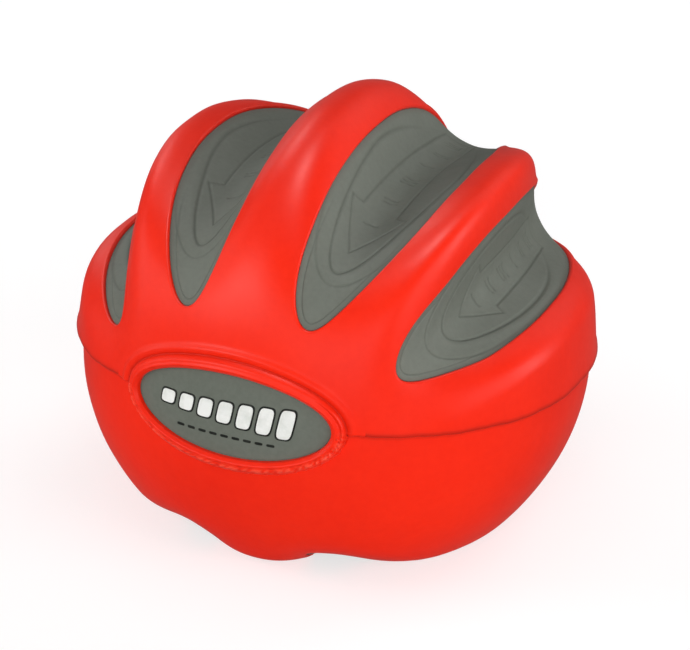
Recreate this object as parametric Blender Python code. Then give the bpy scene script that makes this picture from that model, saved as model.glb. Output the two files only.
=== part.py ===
"""Finger exerciser: a hand-sized squeeze ball with four finger grooves on top,
two thumb recesses underneath and an oval badge at the front.

Frame: +X runs along the row of fingers, -Y is the front with the badge, +Z is
up through the knuckle side. The origin is the middle of the flat resting face.
Blender units are metres. The driving dimensions below are in millimetres.
"""

import math

import bmesh
import bpy
import numpy as np
from mathutils import Vector

MM = 0.001

# ---------------------------------------------------------------- dimensions
HALF_LENGTH = 38.0  # half the size along the finger row (X)
FRONT_DEPTH = 35.60  # from the widest section to the front (-Y)
BACK_DEPTH = 37.15  # from the widest section to the back (+Y)
CROWN_RISE = 40.40  # from the body's centre up to the ridge crests
BELLY_DROP = 33.25  # from the body's centre down, before the base flattens it
SECTION_POWER = 2.27  # superellipse power of the upper X-Z section
BELLY_POWER = 1.96  # the same for the lower half
DEPTH_POWER = 2.17  # superellipse power along Y
BASE_BELOW_CENTRE = 21.70  # the base flattens the belly at this depth
BASE_BLEND = 2.4  # half-height of the band that rounds belly into base
BASE_TRIM = 0.30  # sliced off to leave a true flat resting face
CENTRE_Y = (FRONT_DEPTH - BACK_DEPTH) / 2  # puts the origin mid-depth

FAN_BELOW_CENTRE = 6.90  # the grooves fan out from a line this far down
GROOVE_ANGLES = (-47.5, -17.2, 17.2, 47.5)  # little finger to index, in degrees
CREST_ANGLE = (GROOVE_ANGLES[2] + GROOVE_ANGLES[3]) / 2  # the ridge between two grooves
GROOVE_HALF_ANGLE = 17.2  # a groove runs from crest to crest
GROOVE_DEPTH = 0.224  # as a share of the distance from the centre
GROOVE_FULL_TO = (12.2, 15.4)  # degrees of latitude at full depth, in front and behind
GROOVE_GONE_AT = (64.3, 66.3)  # degrees of latitude where the groove runs out
SPLAY = (2.6, -2.9)  # degrees that the grooves lean outwards by at 56 degrees, in front and behind
SPLAY_POWER = 3.2

THUMB_ANGLES = (-25.4, 25.4)  # from straight down, in degrees
THUMB_HALF_ANGLE = 25.3
THUMB_DEPTH = 0.145
THUMB_FULL_TO = 40.0
THUMB_GONE_AT = 65.4

PARTING_ABOVE_CENTRE = 3.2  # mould parting plane, over the middle
PARTING_TILT = -0.075  # its rise for each mm towards the back
PARTING_GAP = 0.30
LIP_OVERHANG = 0.7  # the lower moulding is this much smaller all round
SKIN = 2.6  # skin thickness
CORE_INSET = 3.7  # foam core surface below the outer surface

PAD_HALF_ANGLE = 10.05  # half width of a finger pad
PAD_REACH = (46.1, 55.2, 55.2, 46.1)  # latitude of each pad's front tip
PAD_REACH_BACK = 58.0  # latitude of the back tips
PAD_POWER = 3.1  # how square the pad outline is along its length: 2 is an oval
PAD_ROUND = 1.65  # the same across it
PAD_THICKNESS = 2.4
PAD_GAP = 0.35
PAD_TRAVEL = 6.0
THUMB_PAD_HALF_ANGLE = 11.5
THUMB_PAD_REACH = 52.0
THUMB_PAD_POWER = 2.6
THUMB_PAD_TRAVEL = 4.0

BADGE_HALF_WIDTH = 14.95
BADGE_HALF_HEIGHT = 6.2
BADGE_ABOVE_CENTRE = 5.6
BADGE_THICKNESS = 1.5
BADGE_RECESS = 0.2  # the plate sits this far below the skin line
BEZEL_WIDTH = 1.85
BEZEL_PROUD = 0.85  # height of the bezel's crown above the skin
BEZEL_DEPTH = 2.4

BASE_Z = BASE_BELOW_CENTRE - BASE_TRIM  # height of the body's centre


# ------------------------------------------------------------------- surface
def lobe(t):
    """1 at t = 0, falling smoothly to 0 at |t| = 1, with a rounded crest."""
    x = np.clip(1 - np.abs(t), 0, 1)
    return 0.5 * x * x * (3 - 2 * x) + 0.5 * x**3 * (x * (6 * x - 15) + 10)


def step(t):
    t = np.clip(t, 0, 1)
    return t * t * (3 - 2 * t)


def hull(phi, beta, lower=0.0):
    """The plain rounded body about its centre, before any groove.

    phi turns about Y from straight up towards +X, and beta is the latitude
    towards +Y, both in radians. lower shrinks it all round, in mm.
    """
    dx = np.cos(beta) * np.sin(phi)
    dy = np.sin(beta)
    dz = np.cos(beta) * np.cos(phi)
    rise = np.where(dz > 0, CROWN_RISE, BELLY_DROP)
    depth = np.where(dy < 0, FRONT_DEPTH, BACK_DEPTH) - lower
    power = np.where(dz > 0, SECTION_POWER, BELLY_POWER)
    section = (np.abs(dx / (HALF_LENGTH - lower)) ** power + np.abs(dz / rise) ** power) ** (1 / power)
    r = (section**DEPTH_POWER + np.abs(dy / depth) ** DEPTH_POWER) ** (-1 / DEPTH_POWER)
    return np.stack([r * dx, r * dy, r * dz], -1)


def fan_angle(p, beta):
    """Angle in degrees of a point round the line that the grooves fan out from.

    It is taken less the splay, which leads the ends of the grooves apart in
    front and together behind.
    """
    fan = np.degrees(np.arctan2(p[..., 0], p[..., 2] + FAN_BELOW_CENTRE))
    splay = np.where(beta < 0, *SPLAY) * np.minimum(np.abs(np.degrees(beta)) / 56, 1.3) ** SPLAY_POWER
    return fan - splay * np.tanh(fan / 14) * step((150 - np.abs(fan)) / 60)


def outer(phi, beta, lower=0.0):
    """The finished outer surface, about the body's centre."""
    p = hull(phi, beta, lower)
    latitude = np.abs(np.degrees(beta))
    fan = fan_angle(p, beta)
    grooves = sum(lobe((fan - a) / GROOVE_HALF_ANGLE) for a in GROOVE_ANGLES)
    full, gone = np.where(beta < 0, *GROOVE_FULL_TO), np.where(beta < 0, *GROOVE_GONE_AT)
    fade = 1 - step((latitude - full) / (gone - full))
    k = 1 - GROOVE_DEPTH * grooves * fade * step((p[..., 2] + 2) / 9)
    under = np.degrees(np.arctan2(p[..., 0], -p[..., 2]))
    thumbs = sum(lobe((under - a) / THUMB_HALF_ANGLE) for a in THUMB_ANGLES)
    fade = 1 - step((latitude - THUMB_FULL_TO) / (THUMB_GONE_AT - THUMB_FULL_TO))
    k = k - THUMB_DEPTH * thumbs * fade * step(-p[..., 2] / 9)
    x, y, z = p[..., 0] * k, p[..., 1], p[..., 2] * k
    t = np.clip(0.5 + 0.5 * (z + BASE_BELOW_CENTRE) / BASE_BLEND, 0, 1)
    flat = -BASE_BELOW_CENTRE * (1 - t) + z * t + BASE_BLEND * t * (1 - t)
    return np.stack([x, y, np.where(z < 0, flat, z)], -1)


def surface(phi, beta, inset=0.0, lower=0.0):
    """Points of the outer surface moved inwards by inset, in the part's frame."""
    beta = np.clip(beta, -math.pi / 2, math.pi / 2)
    p = outer(phi, beta, lower)
    if inset:
        h = 0.01
        b = np.clip(beta, -1.53, 1.53)
        du = outer(phi + h, b, lower) - outer(phi - h, b, lower)
        dv = outer(phi, b + h, lower) - outer(phi, b - h, lower)
        n = np.cross(dv, du)
        n /= np.linalg.norm(n, axis=-1, keepdims=True)
        pole = np.abs(beta) > 1.54
        n[pole] = np.stack([0 * beta[pole], np.sign(beta[pole]), 0 * beta[pole]], -1)
        n *= np.where((n * p).sum(-1, keepdims=True) < 0, -1, 1)
        p = p - inset * n
    return p + np.array([0.0, -CENTRE_Y, BASE_Z])


def phi_at_fan(fan, beta):
    """The phi whose ungrooved point lies at this fan angle, in radians."""
    phi = 1.2 * fan
    for _ in range(30):
        p = hull(phi, beta)
        phi = phi + fan - np.radians(fan_angle(p, beta))
    return phi


def phi_at_under(under, beta):
    """The phi whose ungrooved point lies at this angle from straight down."""
    phi = math.pi - under
    for _ in range(30):
        p = hull(phi, beta)
        phi = phi - (under - np.arctan2(p[..., 0], -p[..., 2]))
    return phi


# ------------------------------------------------------------------- helpers
for old in list(bpy.data.objects):
    bpy.data.objects.remove(old, do_unlink=True)

part = bpy.data.collections.new("finger_exerciser")
cutters = bpy.data.collections.new("cutters")
for collection in (part, cutters):
    bpy.context.scene.collection.children.link(collection)
cutters.hide_render = True


def material(name, colour, roughness):
    m = bpy.data.materials.new(name)
    m.use_nodes = True
    shader = m.node_tree.nodes["Principled BSDF"]
    shader.inputs["Base Color"].default_value = (*colour, 1)
    shader.inputs["Roughness"].default_value = roughness
    shader.inputs["Metallic"].default_value = 0.0
    m.diffuse_color = (*colour, 1)
    return m


def add(name, bm, mat=None, origin=(0, 0, 0)):
    """Makes an object of a bmesh that is in mm in the part's frame, with its own origin there."""
    bm.normal_update()
    bmesh.ops.recalc_face_normals(bm, faces=bm.faces)
    for v in bm.verts:
        v.co = (v.co - Vector(origin)) * MM
    mesh = bpy.data.meshes.new(name)
    bm.to_mesh(mesh)
    bm.free()
    obj = bpy.data.objects.new(name, mesh)
    obj.location = Vector(origin) * MM
    if mat:
        mesh.materials.append(mat)
        mesh.shade_smooth()
        mesh.set_sharp_from_angle(angle=math.radians(40))
        part.objects.link(obj)
    else:
        obj.hide_render = True
        obj.display_type = "WIRE"
        cutters.objects.link(obj)
    return obj


def boolean(obj, operation, other):
    m = obj.modifiers.new(f"{operation.lower()} {other.name}", "BOOLEAN")
    m.operation = operation
    m.solver = "EXACT"
    m.object = other


def body_mesh(around, along, inset=0.0, lower=0.0, fine=0, pitch=CREST_ANGLE / 8):
    """A sphere primitive, its poles turned onto Y, drawn onto the surface.

    With fine set, that many of its columns lie one pitch apart either side of
    the crown, so that they fall on the crests and grooves, and the others
    share what is left. Without it the columns are even. They follow the
    grooves up to a latitude of 60 degrees and run straight on to the poles.
    """
    bm = bmesh.new()
    bmesh.ops.create_uvsphere(bm, u_segments=around, v_segments=along, radius=1)
    co = np.array([v.co for v in bm.verts], float)
    turn = np.arctan2(co[:, 0], co[:, 1])
    beta = np.arcsin(np.clip(co[:, 2], -1, 1))
    phi = turn
    if fine:
        column = np.abs(turn) * around / (2 * math.pi)
        edge = fine * pitch
        rest = (180 - edge) / (around / 2 - fine)
        fan = np.where(column < fine, column * pitch, edge + (column - fine) * rest)
        phi = phi_at_fan(np.sign(turn) * np.radians(fan), np.clip(beta, -math.pi / 3, math.pi / 3))
    for v, p in zip(bm.verts, surface(phi, beta, inset, lower)):
        v.co = p
    return bm


def slab_mesh(low, high, tilt=0.0):
    """A box primitive between two corners, whose flat faces climb by tilt for each mm along Y."""
    bm = bmesh.new()
    bmesh.ops.create_cube(bm, size=1)
    for v in bm.verts:
        v.co = [l + (c + 0.5) * (h - l) for c, l, h in zip(v.co, low, high)]
        v.co.z += tilt * (v.co.y + CENTRE_Y)
    bmesh.ops.triangulate(bm, faces=bm.faces)
    return bm


def pad_mesh(centre, half, reach, power, phi_at, rise, fall, across, along):
    """A pointed-oval patch of the surface, made thick along one direction.

    The patch runs from latitude -reach[0] to reach[1], with power as its
    outline's powers along and across. It is moved by fall against the
    direction and extruded back up to rise.
    """
    direction = np.array([math.sin(math.radians(centre)), 0.0, math.cos(math.radians(centre))])
    if phi_at is phi_at_under:
        direction = direction * [1, 1, -1]
    bm = bmesh.new()
    bmesh.ops.create_grid(bm, x_segments=across, y_segments=along, size=1)
    co = np.array([v.co for v in bm.verts], float)
    v_along = np.sin(co[:, 1] * math.pi / 2)
    width = half * np.clip(1 - np.abs(v_along) ** power[0], 0, 1) ** (1 / power[1])
    angle = np.radians(centre + co[:, 0] * width)
    beta = np.radians(np.where(v_along < 0, *reach) * v_along)
    points = surface(phi_at(angle, beta), beta) - fall * direction
    for v, p in zip(bm.verts, points):
        v.co = p
    bmesh.ops.remove_doubles(bm, verts=bm.verts, dist=0.02)
    lifted = bmesh.ops.extrude_face_region(bm, geom=bm.faces[:])["geom"]
    shift = Vector(direction * (rise + fall))
    bmesh.ops.translate(bm, vec=shift, verts=[g for g in lifted if isinstance(g, bmesh.types.BMVert)])
    return bm, direction


def front_point(x, z, inset):
    """The point of the front surface at this x and height above the centre."""
    x, z = np.asarray(x, float), np.asarray(z, float)
    y = np.full(x.shape, -FRONT_DEPTH)
    for _ in range(40):
        rho = np.hypot(x, z)
        beta = np.arctan2(y, rho)
        phi = np.arctan2(x, z)
        q = hull(phi, beta)
        y = y * (1 + 0.5 * (np.linalg.norm(q, axis=-1) / np.sqrt(rho**2 + y**2) - 1))
    return np.stack([x, y - CENTRE_Y + inset, z + BASE_Z], -1)


def oval_mesh(half_x, half_z, front, back, rings):
    """An oval plate or plug that follows the front of the body, extruded along Y."""
    bm = bmesh.new()
    bmesh.ops.create_circle(bm, cap_ends=True, cap_tris=True, segments=40, radius=1)
    if rings > 1:
        bmesh.ops.subdivide_edges(
            bm, edges=[e for e in bm.edges if not e.is_boundary], cuts=rings - 1, use_grid_fill=True
        )
    co = np.array([v.co for v in bm.verts], float)
    points = front_point(co[:, 0] * half_x, co[:, 1] * half_z + BADGE_ABOVE_CENTRE, back)
    for v, p in zip(bm.verts, points):
        v.co = p
    lifted = bmesh.ops.extrude_face_region(bm, geom=bm.faces[:])["geom"]
    bmesh.ops.translate(
        bm, vec=(0, front - back, 0), verts=[g for g in lifted if isinstance(g, bmesh.types.BMVert)]
    )
    return bm


def bezel_mesh():
    """A ring primitive bent round the oval: a rounded crown outside, a flat wall inside the skin."""
    bm = bmesh.new()
    around, section = 44, 8
    bmesh.ops.create_cone(
        bm, cap_ends=False, segments=around, radius1=1, radius2=1, depth=2
    )
    bmesh.ops.subdivide_edges(
        bm,
        edges=[e for e in bm.edges if abs(e.verts[0].co.z - e.verts[1].co.z) > 1],
        cuts=section - 1,
        use_grid_fill=True,
    )
    for v in bm.verts:
        theta = math.atan2(v.co.y, v.co.x)
        s = (v.co.z + 1) / 2  # once round the ring's own section
        turn = 2 * math.pi * s
        across = 0.5 - 0.5 * math.cos(turn)
        depth = math.sin(turn)
        rho = BADGE_HALF_HEIGHT + PAD_GAP + BEZEL_WIDTH * across
        rho_x = BADGE_HALF_WIDTH + PAD_GAP + BEZEL_WIDTH * across
        inset = BEZEL_DEPTH * depth if depth > 0 else BEZEL_PROUD * depth
        p = front_point(
            rho_x * math.cos(theta), rho * math.sin(theta) + BADGE_ABOVE_CENTRE, inset
        )
        v.co = p
    bmesh.ops.remove_doubles(bm, verts=bm.verts, dist=0.01)
    return bm


# ----------------------------------------------------------------- materials
red = material("red_skin", (0.82, 0.035, 0.012), 0.42)
red_low = material("red_skin_lower", (0.80, 0.033, 0.012), 0.42)
foam = material("foam", (0.74, 0.16, 0.10), 0.9)
grey_badge = material("badge_grey", (0.125, 0.14, 0.115), 0.55)

# ------------------------------------------------------------- cutting tools
parting = BASE_Z + PARTING_ABOVE_CENTRE
big = 2 * HALF_LENGTH
above = add(
    "above_parting", slab_mesh((-big, -big, parting + PARTING_GAP / 2), (big, big, 3 * big), PARTING_TILT)
)
below = add("below_parting", slab_mesh((-big, -big, -big), (big, big, parting - PARTING_GAP / 2), PARTING_TILT))
ground = add("ground", slab_mesh((-big, -big, 0.0), (big, big, big)))
clearance = add("clearance", slab_mesh((-big, -big, PAD_GAP), (big, big, big)))
cavity = add("cavity", body_mesh(52, 24, inset=SKIN, fine=20))
cavity_low = add("cavity_lower", body_mesh(36, 20, inset=SKIN, lower=LIP_OVERHANG))

pad_powers = (PAD_POWER, PAD_ROUND)
thumb_powers = (THUMB_PAD_POWER, 2.0)
windows = []
for number, (centre, reach) in enumerate(zip(GROOVE_ANGLES, PAD_REACH), 1):
    mesh, _ = pad_mesh(
        centre, PAD_HALF_ANGLE, (reach, PAD_REACH_BACK), pad_powers, phi_at_fan, 8, PAD_THICKNESS + PAD_TRAVEL + 1.5, 6, 16
    )
    windows.append(add(f"window_{number}", mesh))

thumb_windows = []
for side, centre in zip(("left", "right"), THUMB_ANGLES):
    mesh, _ = pad_mesh(
        centre, THUMB_PAD_HALF_ANGLE, (THUMB_PAD_REACH,) * 2, thumb_powers, phi_at_under, 8, PAD_THICKNESS + THUMB_PAD_TRAVEL + 1.5, 6, 14
    )
    thumb_windows.append(add(f"thumb_window_{side}", mesh))

badge_hole = add(
    "badge_hole",
    oval_mesh(BADGE_HALF_WIDTH + PAD_GAP, BADGE_HALF_HEIGHT + PAD_GAP, -6, 8, 1),
)
bezel_hole = add(
    "bezel_hole",
    oval_mesh(
        BADGE_HALF_WIDTH + BEZEL_WIDTH + 2 * PAD_GAP,
        BADGE_HALF_HEIGHT + BEZEL_WIDTH + 2 * PAD_GAP,
        -6,
        8,
        1,
    ),
)
bezel = add("bezel", bezel_mesh())

# --------------------------------------------------------------------- nodes
upper_shell = add("upper_shell", body_mesh(56, 26, fine=21), red)
boolean(upper_shell, "DIFFERENCE", cavity)
boolean(upper_shell, "INTERSECT", above)
for window in windows:
    boolean(upper_shell, "DIFFERENCE", window)
boolean(upper_shell, "UNION", bezel)
boolean(upper_shell, "DIFFERENCE", badge_hole)

lower_shell = add("lower_shell", body_mesh(44, 22, lower=LIP_OVERHANG), red_low)
boolean(lower_shell, "DIFFERENCE", cavity_low)
boolean(lower_shell, "INTERSECT", below)
boolean(lower_shell, "INTERSECT", ground)
for window in thumb_windows:
    boolean(lower_shell, "DIFFERENCE", window)
boolean(lower_shell, "DIFFERENCE", bezel_hole)

foam_core = add(
    "foam_core", body_mesh(44, 20, inset=CORE_INSET, lower=LIP_OVERHANG, fine=14, pitch=CREST_ANGLE / 6), foam
)

for number, (centre, reach) in enumerate(zip(GROOVE_ANGLES, PAD_REACH), 1):
    half = PAD_HALF_ANGLE - 0.45
    grey = material(f"pad_grey_{number}", (0.13, 0.145, 0.12), 0.62)
    mesh, direction = pad_mesh(
        centre, half, (reach - 0.6, PAD_REACH_BACK - 0.6), pad_powers, phi_at_fan, 0, PAD_THICKNESS, 6, 14
    )
    middle = surface(phi_at_fan(np.radians([centre]), np.zeros(1)), np.zeros(1))[0]
    add(f"finger_pad_{number}", mesh, grey, origin=middle)

for side, centre in zip(("left", "right"), THUMB_ANGLES):
    grey = material(f"thumb_grey_{side}", (0.13, 0.145, 0.12), 0.62)
    mesh, direction = pad_mesh(
        centre, THUMB_PAD_HALF_ANGLE - 0.6, (THUMB_PAD_REACH - 0.7,) * 2, thumb_powers, phi_at_under, 0, PAD_THICKNESS, 5, 12
    )
    middle = surface(phi_at_under(np.radians([centre]), np.zeros(1)), np.zeros(1))[0]
    pad = add(f"thumb_pad_{side}", mesh, grey, origin=middle)
    boolean(pad, "INTERSECT", clearance)

badge_plate = add(
    "badge_plate",
    oval_mesh(BADGE_HALF_WIDTH, BADGE_HALF_HEIGHT, BADGE_RECESS, BADGE_RECESS + BADGE_THICKNESS, 2),
    grey_badge,
)
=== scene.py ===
"""Looks for the finger exerciser: fine skins, pads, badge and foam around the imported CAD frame.

All shape work is in millimetres about the body's centre, in the CAD's axes: +X along the
row of fingers, -Y to the front with the badge, +Z up. put() turns a finished mesh into the
frame's metres. The surfaces are functions of a ray, a unit direction from the centre. Its
phi turns from +Z towards +X, its latitude beta runs from the XZ plane towards +Y.
"""

import math

import bpy
import numpy as np
from mathutils import Matrix, Vector


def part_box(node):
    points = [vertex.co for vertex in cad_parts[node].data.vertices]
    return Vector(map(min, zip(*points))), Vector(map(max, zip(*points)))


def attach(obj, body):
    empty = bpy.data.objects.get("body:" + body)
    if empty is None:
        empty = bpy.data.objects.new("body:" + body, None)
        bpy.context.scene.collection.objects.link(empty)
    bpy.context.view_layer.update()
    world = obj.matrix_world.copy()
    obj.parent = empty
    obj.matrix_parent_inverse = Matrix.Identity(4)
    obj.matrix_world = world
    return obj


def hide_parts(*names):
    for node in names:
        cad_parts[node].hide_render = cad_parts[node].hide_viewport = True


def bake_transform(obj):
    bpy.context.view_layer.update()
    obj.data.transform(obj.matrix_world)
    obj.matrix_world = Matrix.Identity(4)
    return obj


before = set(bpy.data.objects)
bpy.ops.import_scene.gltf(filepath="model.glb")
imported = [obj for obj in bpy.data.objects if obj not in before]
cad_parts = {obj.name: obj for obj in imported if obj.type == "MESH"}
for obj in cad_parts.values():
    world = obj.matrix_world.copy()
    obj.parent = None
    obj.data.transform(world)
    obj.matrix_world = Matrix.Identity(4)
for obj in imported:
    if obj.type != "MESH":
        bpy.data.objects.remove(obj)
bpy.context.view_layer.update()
MM = 0.001

# ------------------------------------------------------------- shape of the CAD
HALF_LENGTH = 38.0
FRONT_DEPTH = 35.60
BACK_DEPTH = 37.15
CROWN_RISE = 40.40
BELLY_DROP = 33.25
SECTION_POWER = 2.27  # squareness of the XZ section above the centre
BELLY_POWER = 1.96  # and below it
DEPTH_POWER = 2.17  # squareness towards the front and back
BASE_BELOW = 21.70
BASE_BLEND = 2.4
BASE_TRIM = 0.30
FAN_BELOW = 6.90  # the line that the grooves fan out from, below the centre
GROOVES = (-47.5, -17.2, 17.2, 47.5)  # degrees round that line
CREST = (GROOVES[2] + GROOVES[3]) / 2
GROOVE_HALF = 17.2
GROOVE_DEPTH = 0.224  # share of the distance from the Y axis
GROOVE_FULL_TO = (12.2, 15.4)  # latitudes at the front and the back
GROOVE_GONE_AT = (64.3, 66.3)
SPLAY = (2.6, -2.9)  # degrees at the front and the back
SPLAY_POWER = 3.2
THUMBS = (-25.4, 25.4)  # degrees from straight down
THUMB_HALF = 25.3
THUMB_DEPTH = 0.145
THUMB_FULL_TO = 40.0
THUMB_GONE_AT = 65.4
PARTING = 3.2  # height of the parting plane between the upper and the lower skin
PARTING_TILT = -0.075
UPPER_GAP = 0.05  # from the parting line to each skin
LOWER_GAP = 0.12
LIP = 0.7  # inset of the lower skin
SKIN = 2.4

PAD_HALF = 10.05  # pad sizes across and along are in degrees
PAD_REACH = (46.1, 55.2, 55.2, 46.1)
PAD_REACH_BACK = 58.0
PAD_POWER = 3.1
PAD_ROUND = 1.65
PAD_SINK = 0.30
LEAN = (0.0, 0.0, -1.3, -2.7)  # degrees that each pad's front tip is drawn to one side
PAD_THICK = 2.0
THUMB_PAD_HALF = 11.5
THUMB_PAD_REACH = 52.0
THUMB_PAD_POWER = 2.6
LIP_RADIUS = 0.42  # rounding of the red lip round each pad
LIP_CLEAR = 0.03

# ovals as (x, z) of the middle and of the half sizes
BADGE_AT, BADGE_HALF = (-1.15, 5.6), (14.95, 6.15)
BACK_AT, BACK_HALF = (0.0, 6.0), (14.0, 8.5)  # the still oval of skin at the back
RIM_OUT = 1.95
RIM_BLEND = 4.4

# each finger's strip of upper skin, from one fan angle to the other
OPEN = 400.0  # stands for a side without a seam
ZONES = ((-OPEN, -CREST), (-CREST, 0.0), (0.0, CREST), (CREST, OPEN))

# the CAD's own box fixes where the body's centre lies
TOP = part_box("upper_shell")[1].z / MM
CENTRE = np.array([0.0, (BACK_DEPTH - FRONT_DEPTH) / 2, TOP - CROWN_RISE])


# ------------------------------------------------------------------- plain maths
def lobe(x):
    x = np.clip(1 - np.abs(x), 0, 1)
    return 0.5 * x * x * (3 - 2 * x) + 0.5 * x**3 * (x * (6 * x - 15) + 10)


def rise(value, low, high):
    """Eases from 0 at low to 1 at high."""
    x = np.clip((value - low) / (high - low), 0, 1)
    return x * x * (3 - 2 * x)


def fall(value, full, gone):
    """Eases from 1 at full to 0 at gone."""
    return 1 - rise(value, full, gone)


def bell(value, middle, width):
    return np.exp(-(((value - middle) / width) ** 2))


def signed_power(value, power):
    return np.sign(value) * np.abs(value) ** power


def angles(count):
    return np.arange(count) * 2 * math.pi / count


def axes_of(points):
    return np.moveaxis(points, -1, 0)


def unit(vectors):
    return vectors / np.maximum(np.linalg.norm(vectors, axis=-1, keepdims=True), 1e-12)


def facing(vectors, guide):
    """Turns the vectors that point against the guide."""
    return vectors * np.where((vectors * guide).sum(-1, keepdims=True) < 0, -1, 1)


# --------------------------------------------------------------------- surfaces
def direction(phi, beta):
    return np.stack(
        [np.cos(beta) * np.sin(phi), np.sin(beta), np.cos(beta) * np.cos(phi)], -1
    )


def latitude(ray):
    return np.arcsin(np.clip(ray[..., 1], -1, 1))


def hull(ray, inset=0.0):
    """The plain body without grooves, with its sides, front and back drawn in by inset."""
    x, y, z = axes_of(ray)
    height = np.where(z > 0, CROWN_RISE, BELLY_DROP)
    depth = np.where(y < 0, FRONT_DEPTH, BACK_DEPTH) - inset
    power = np.where(z > 0, SECTION_POWER, BELLY_POWER)
    section = np.abs(x / (HALF_LENGTH - inset)) ** power + np.abs(z / height) ** power + 1e-15
    section = section ** (1 / power)
    radius = (section**DEPTH_POWER + np.abs(y / depth) ** DEPTH_POWER) ** (-1 / DEPTH_POWER)
    return radius[..., None] * ray


def fan_of(points, beta):
    """Angle in degrees round the grooves' fan line. The grooves splay towards their ends."""
    fan = np.degrees(np.arctan2(points[..., 0], points[..., 2] + FAN_BELOW))
    splay = np.where(beta < 0, *SPLAY)
    splay = splay * np.minimum(np.abs(np.degrees(beta)) / 56, 1.3) ** SPLAY_POWER
    return fan - splay * np.tanh(fan / 14) * fall(np.abs(fan), 90, 150)


def fan_at(ray):
    return fan_of(hull(ray), latitude(ray))


def under_of(points):
    """Angle in degrees round the Y axis from straight down."""
    return np.degrees(np.arctan2(points[..., 0], -points[..., 2]))


def outer(ray, inset=0.0):
    """The outer surface, with its grooves, thumb recesses and flat base."""
    plain = hull(ray, inset)
    x, y, z = axes_of(plain)
    fan = fan_of(plain, latitude(ray))
    lat = np.abs(np.degrees(latitude(ray)))
    grooves = sum(lobe((fan - middle) / GROOVE_HALF) for middle in GROOVES)
    front = y < 0
    fade = fall(lat, np.where(front, *GROOVE_FULL_TO), np.where(front, *GROOVE_GONE_AT))
    shrink = 1 - GROOVE_DEPTH * grooves * fade * rise(z, -2, 7)
    thumbs = sum(lobe((under_of(plain) - middle) / THUMB_HALF) for middle in THUMBS)
    fade = fall(lat, THUMB_FULL_TO, THUMB_GONE_AT)
    shrink = shrink - THUMB_DEPTH * thumbs * fade * fall(z, -9, 0)
    x, z = x * shrink, z * shrink
    above = np.clip(0.5 + 0.5 * (z + BASE_BELOW) / BASE_BLEND, 0, 1)
    flat = -BASE_BELOW * (1 - above) + z * above + BASE_BLEND * above * (1 - above)
    flat = np.maximum(flat, -BASE_BELOW + BASE_TRIM)
    return np.stack([x, y, np.where(z < 0, flat, z)], -1)


def normal(ray, inset=0.0):
    """Outward unit normal of outer(), by differences along two tangents."""
    helper = np.where(np.abs(ray[..., 1:2]) < 0.9, [0.0, 1.0, 0.0], [1.0, 0.0, 0.0])
    first = unit(np.cross(helper, ray))
    slopes = []
    for tangent in (first, np.cross(ray, first)):
        shift = 2e-3 * tangent
        slopes.append(outer(unit(ray + shift), inset) - outer(unit(ray - shift), inset))
    return facing(unit(np.cross(*slopes)), ray)


def phi_at_fan(fan, lat):
    """phi of the hull's points with this fan angle and latitude, both in degrees."""
    phi, beta = np.radians(1.2 * fan), np.radians(lat)
    for _ in range(30):
        phi = phi + np.radians(fan - fan_of(hull(direction(phi, beta)), beta))
    return phi


def phi_at_under(under, lat):
    """phi of the lower hull's points with this angle from straight down and latitude."""
    phi, beta = math.pi - np.radians(under), np.radians(lat)
    for _ in range(30):
        phi = phi - np.radians(under - under_of(hull(direction(phi, beta), LIP)))
    return phi


def ray_at(x, z, depth=-FRONT_DEPTH):
    """Ray to the front surface's point with this x and z, or the back's for positive depth."""
    ray = unit(np.stack([x, np.full_like(x, depth), z], -1))
    for _ in range(25):
        point = outer(ray)
        miss = np.stack([x - point[..., 0], 0 * x, z - point[..., 2]], -1)
        ray = unit(ray + miss / FRONT_DEPTH)
    return ray


# the parting line's small wander: waves round the body, phase, height
WANDER = ((9, 1.0, 0.07), (23, 2.0, 0.05), (57, 0.4, 0.035), (131, 0.0, 0.02))


def parting(points):
    """Height of the parting plane at each point."""
    x, y, _ = axes_of(points)
    turn = np.arctan2(y, x)
    wander = sum(height * np.sin(waves * turn + phase) for waves, phase, height in WANDER)
    return PARTING + PARTING_TILT * y + wander


def near_parting(points, reach):
    """1 at the parting line, fading upwards over about reach mm."""
    return np.exp(-np.clip(points[..., 2] - parting(points), 0, 9) / reach)


def skin_relief(points):
    """Slow wander of the skin, a few hundredths of a mm."""
    x, y, z = axes_of(points)
    broad = np.sin(0.31 * x + 0.23 * y + 1.1) * np.sin(0.27 * y - 0.19 * z)
    small = np.sin(0.63 * x - 0.41 * z + 2.0) * np.sin(0.52 * y + 0.3)
    return 0.035 * (broad + 0.5 * small)


def pad_reach(k, side):
    """Reach of finger pad k: the front one where side is negative."""
    return np.where(side < 0, PAD_REACH[k], PAD_REACH_BACK)


# ---------------------------------------------------------------- weights for pressing
SIDES = ("left", "right")
FINGER_BODIES = [f"finger_{k + 1}" for k in range(4)]
THUMB_BODIES = [f"thumb_{side}" for side in SIDES]


def finger_weight(k, ray):
    """Weight of finger k at a point: full at the groove's middle, none on the crests."""
    across = np.abs(fan_at(ray) - GROOVES[k]) / 15.2
    lat = np.abs(np.degrees(latitude(ray)))
    along = fall(lat, 12.0, pad_reach(k, ray[..., 1]) + 3.0)
    return fall(across, 0.12, 0.98) * along * rise(hull(ray)[..., 2], 7.0, 13.0)


def thumb_weight(side, ray):
    plain = hull(ray, LIP)
    across = np.abs(under_of(plain) - THUMBS[side]) / 25.0
    lat = np.abs(np.degrees(latitude(ray)))
    return fall(across, 0.1, 0.95) * fall(lat, 12.0, 60.0) * fall(plain[..., 2], -10.0, -4.0)


def weigh(obj, weights):
    """Bakes the piece's transform into its mesh and clips the weights, which go no further."""
    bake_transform(obj)
    weights = np.clip(weights, 0, 1).astype(np.float32)


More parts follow.
